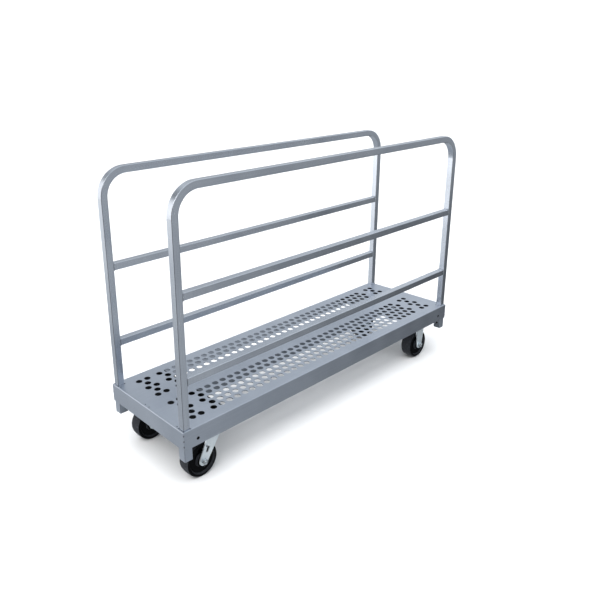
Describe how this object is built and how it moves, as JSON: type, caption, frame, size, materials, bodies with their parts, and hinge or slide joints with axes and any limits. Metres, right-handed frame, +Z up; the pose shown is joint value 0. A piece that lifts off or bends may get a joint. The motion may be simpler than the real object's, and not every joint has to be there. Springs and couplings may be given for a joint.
{
  "type": "flatbed platform truck",
  "caption": "Panel truck with a perforated folded deck, lift-out tubular side frames in corner sockets, swivel casters at one end and rigid casters at the other.",
  "frame": {"origin": "on the floor below the middle of the deck", "axes": "+X along the deck towards the rigid casters, +Y across it towards the far side frame, +Z up"},
  "size_m": [1.524, 0.432, 1.02],
  "materials": {
    "deck_aluminium": "brushed, satin",
    "under_deck_aluminium": "mill finish, dull",
    "socket_aluminium": "brushed, satin",
    "frame_aluminium": "bright mill finish",
    "zinc_plate": "bright zinc plate",
    "zinc_bolt": "zinc plated hardware",
    "bearing_steel": "ground steel, lightly oiled",
    "dark_steel": "black oxide screws and caster channels",
    "wheel_black": "glossy moulded black"
  },
  "bodies": {
    "truck_base": {"deck_pan": "deck_aluminium", "center_stiffener": "under_deck_aluminium", "left_caster_channel": "dark_steel", "right_caster_channel": "dark_steel", "near_left_socket": "socket_aluminium", "near_right_socket": "socket_aluminium", "far_left_socket": "socket_aluminium", "far_right_socket": "socket_aluminium", "stop_screws": "dark_steel", "near_swivel_plate": "zinc_plate", "near_swivel_upper_race": "bearing_steel", "near_swivel_balls": "bearing_steel", "near_swivel_kingpin": "zinc_bolt", "near_swivel_kingpin_nut": "zinc_bolt", "far_swivel_plate": "zinc_plate", "far_swivel_upper_race": "bearing_steel", "far_swivel_balls": "bearing_steel", "far_swivel_kingpin": "zinc_bolt", "far_swivel_kingpin_nut": "zinc_bolt", "near_rigid_plate": "zinc_plate", "near_rigid_fork": "zinc_plate", "near_rigid_axle_bolt": "zinc_bolt", "near_rigid_axle_nut": "zinc_bolt", "far_rigid_plate": "zinc_plate", "far_rigid_fork": "zinc_plate", "far_rigid_axle_bolt": "zinc_bolt", "far_rigid_axle_nut": "zinc_bolt", "caster_bolts": "zinc_bolt", "caster_nuts": "zinc_bolt"},
    "near_side_frame": {"near_frame_hoop": "frame_aluminium", "near_frame_mid_rail": "frame_aluminium", "near_frame_low_rail": "frame_aluminium"},
    "far_side_frame": {"far_frame_hoop": "frame_aluminium", "far_frame_mid_rail": "frame_aluminium", "far_frame_low_rail": "frame_aluminium"},
    "near_swivel_head": {"near_swivel_lower_race": "bearing_steel", "near_swivel_fork": "zinc_plate", "near_swivel_axle_bolt": "zinc_bolt", "near_swivel_axle_nut": "zinc_bolt"},
    "near_swivel_wheel_set": {"near_swivel_wheel": "wheel_black", "near_swivel_bearing": "bearing_steel"},
    "far_swivel_head": {"far_swivel_lower_race": "bearing_steel", "far_swivel_fork": "zinc_plate", "far_swivel_axle_bolt": "zinc_bolt", "far_swivel_axle_nut": "zinc_bolt"},
    "far_swivel_wheel_set": {"far_swivel_wheel": "wheel_black", "far_swivel_bearing": "bearing_steel"},
    "near_rigid_wheel_set": {"near_rigid_wheel": "wheel_black", "near_rigid_bearing": "bearing_steel"},
    "far_rigid_wheel_set": {"far_rigid_wheel": "wheel_black", "far_rigid_bearing": "bearing_steel"}
  },
  "joints": [
    {"name": "near_frame_lift", "type": "slide", "parent": "truck_base", "child": "near_side_frame", "axis": [0, 0, 1], "range_m": [0, 0.075]},
    {"name": "far_frame_lift", "type": "slide", "parent": "truck_base", "child": "far_side_frame", "axis": [0, 0, 1], "range_m": [0, 0.075]},
    {"name": "near_caster_swivel", "type": "hinge", "parent": "truck_base", "child": "near_swivel_head", "pos_m": [-0.616, -0.15, 0.154], "axis": [0, 0, 1], "continuous": true},
    {"name": "near_swivel_wheel_spin", "type": "hinge", "parent": "near_swivel_head", "child": "near_swivel_wheel_set", "pos_m": [-0.661, -0.15, 0.0635], "axis": [0, 1, 0], "continuous": true},
    {"name": "far_caster_swivel", "type": "hinge", "parent": "truck_base", "child": "far_swivel_head", "pos_m": [-0.616, 0.15, 0.154], "axis": [0, 0, 1], "continuous": true},
    {"name": "far_swivel_wheel_spin", "type": "hinge", "parent": "far_swivel_head", "child": "far_swivel_wheel_set", "pos_m": [-0.661, 0.15, 0.0635], "axis": [0, 1, 0], "continuous": true},
    {"name": "near_rigid_wheel_spin", "type": "hinge", "parent": "truck_base", "child": "near_rigid_wheel_set", "pos_m": [0.616, -0.15, 0.0635], "axis": [0, 1, 0], "continuous": true},
    {"name": "far_rigid_wheel_spin", "type": "hinge", "parent": "truck_base", "child": "far_rigid_wheel_set", "pos_m": [0.616, 0.15, 0.0635], "axis": [0, 1, 0], "continuous": true}
  ]
}
